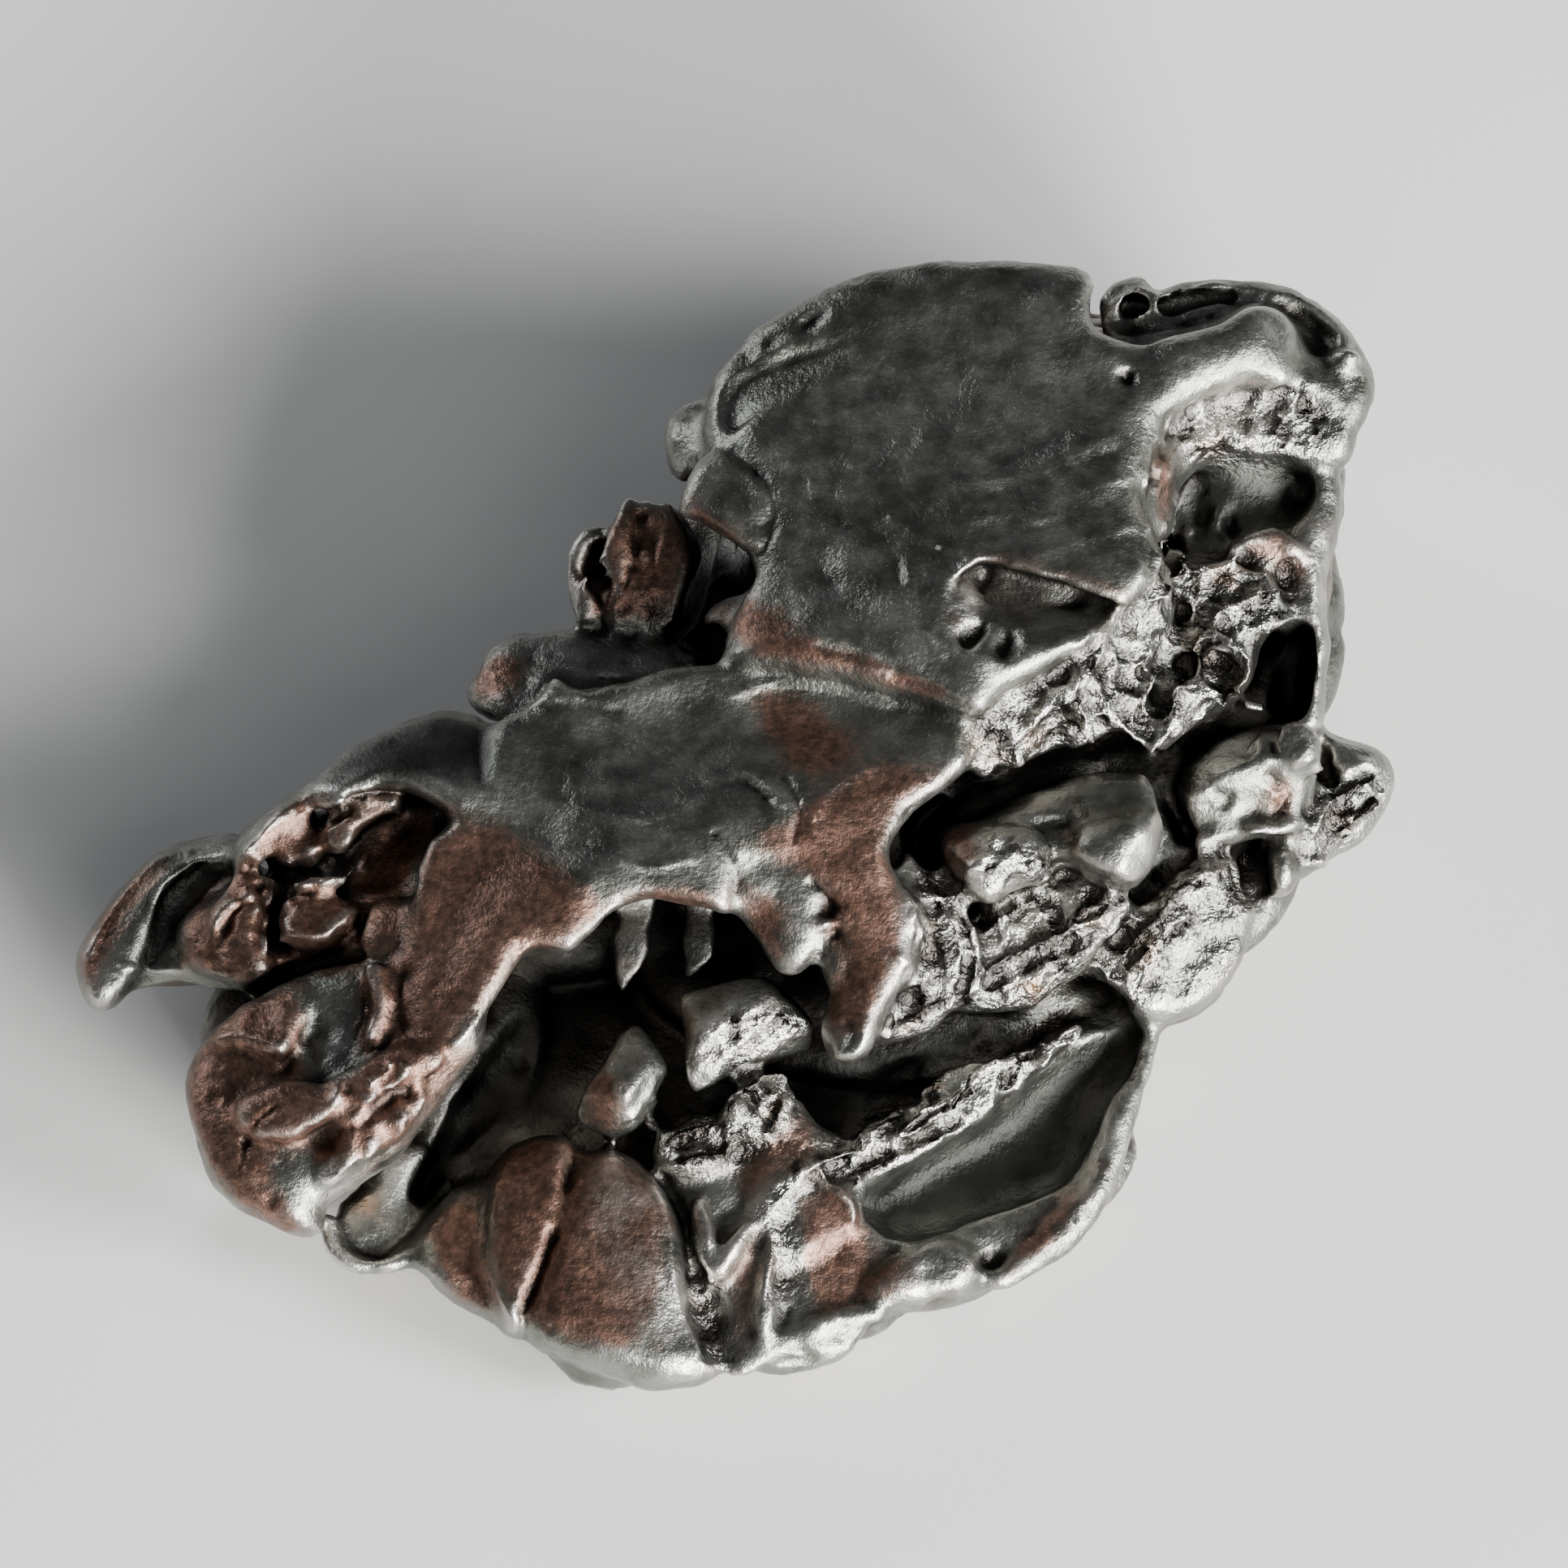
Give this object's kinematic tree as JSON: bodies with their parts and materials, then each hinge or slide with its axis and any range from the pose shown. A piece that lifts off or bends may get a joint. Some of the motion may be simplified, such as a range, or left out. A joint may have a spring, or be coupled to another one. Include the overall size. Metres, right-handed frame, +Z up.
{
  "type": "iron meteorite",
  "caption": "Torn, rounded lump of meteoritic iron: a smooth plate over knobs, ridges and deep hollows, with a claw-shaped spur at one end.",
  "frame": {"origin": "centre of the bounding box's base, on the table", "axes": "+Z up from the table, +X from the spur to the far knob along the longest side, +Y to the far side of the picture"},
  "size_m": [0.0578, 0.0552, 0.0177],
  "materials": {
    "iron": "Dark weathered nickel-iron, bright where it is torn and red-brown with rust along the edges"
  },
  "bodies": {
    "root": {"meteorite": "iron"}
  },
  "joints": []
}
